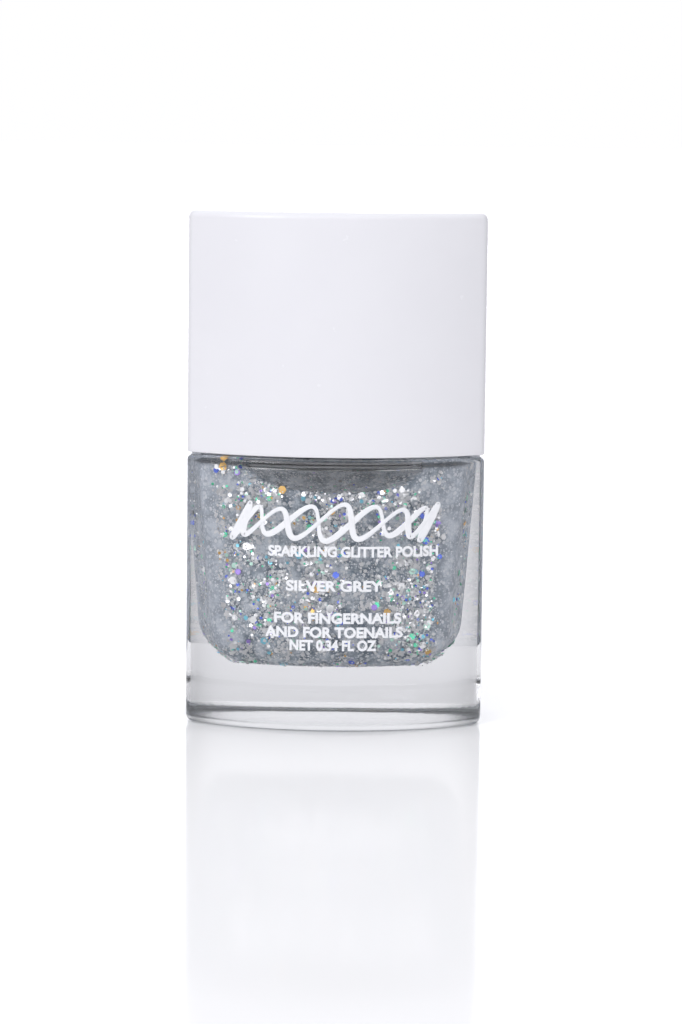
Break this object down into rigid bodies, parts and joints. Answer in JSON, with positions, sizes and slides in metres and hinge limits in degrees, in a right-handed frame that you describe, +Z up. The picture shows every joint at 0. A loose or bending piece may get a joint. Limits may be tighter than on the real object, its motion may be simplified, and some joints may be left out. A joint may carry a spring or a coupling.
{
  "type": "nail polish bottle",
  "caption": "Bowed rectangular glass bottle of glitter nail lacquer with a screw-on brush cap under a matching white overcap.",
  "frame": {"origin": "middle of the base, on the surface the bottle stands on", "axes": "+Z up along the neck and the brush, +X along the width, and the printed front faces -Y"},
  "size_m": [0.0364, 0.024, 0.0632],
  "materials": {
    "clear_glass": "clear polished flint glass",
    "glitter_lacquer": "clear grey liquid full of silver and rainbow glitter",
    "steel": "polished stainless steel",
    "liner_foam": "white polyethylene foam",
    "stem_plastic": "moulded natural white polypropylene",
    "nylon": "fine black nylon filaments",
    "cap_plastic": "moulded white polypropylene",
    "white_gloss": "glossy white moulded plastic"
  },
  "bodies": {
    "bottle": {"glass_bottle": "clear_glass", "lacquer_fill": "glitter_lacquer", "mixing_ball_a": "steel", "mixing_ball_b": "steel"},
    "liner": {"sealing_liner": "liner_foam"},
    "brush": {"brush_stem": "stem_plastic", "brush_staple": "steel", "brush_tuft": "nylon"},
    "screw_cap": {"inner_cap": "cap_plastic"},
    "overcap": {"overcap_insert": "cap_plastic", "overcap_shell": "white_gloss"}
  },
  "joints": [
    {"name": "brush_pull", "type": "slide", "parent": "bottle", "child": "liner", "axis": [0, 0, 1], "range_m": [0, 0.045]},
    {"name": "cap_rise", "type": "slide", "parent": "liner", "child": "brush", "axis": [0, 0, 1], "range_m": [0, 0.00318]},
    {"name": "cap_turn", "type": "hinge", "parent": "brush", "child": "screw_cap", "pos_m": [0, 0, 0.0339], "axis": [0, 0, 1], "range_deg": [0, 540]},
    {"name": "overcap_pull", "type": "slide", "parent": "screw_cap", "child": "overcap", "axis": [0, 0, 1], "range_m": [0, 0.022]}
  ],
  "couplings": [
    {"joint": "cap_rise", "follows": "cap_turn", "m_per_rad": 0.00033688}
  ]
}
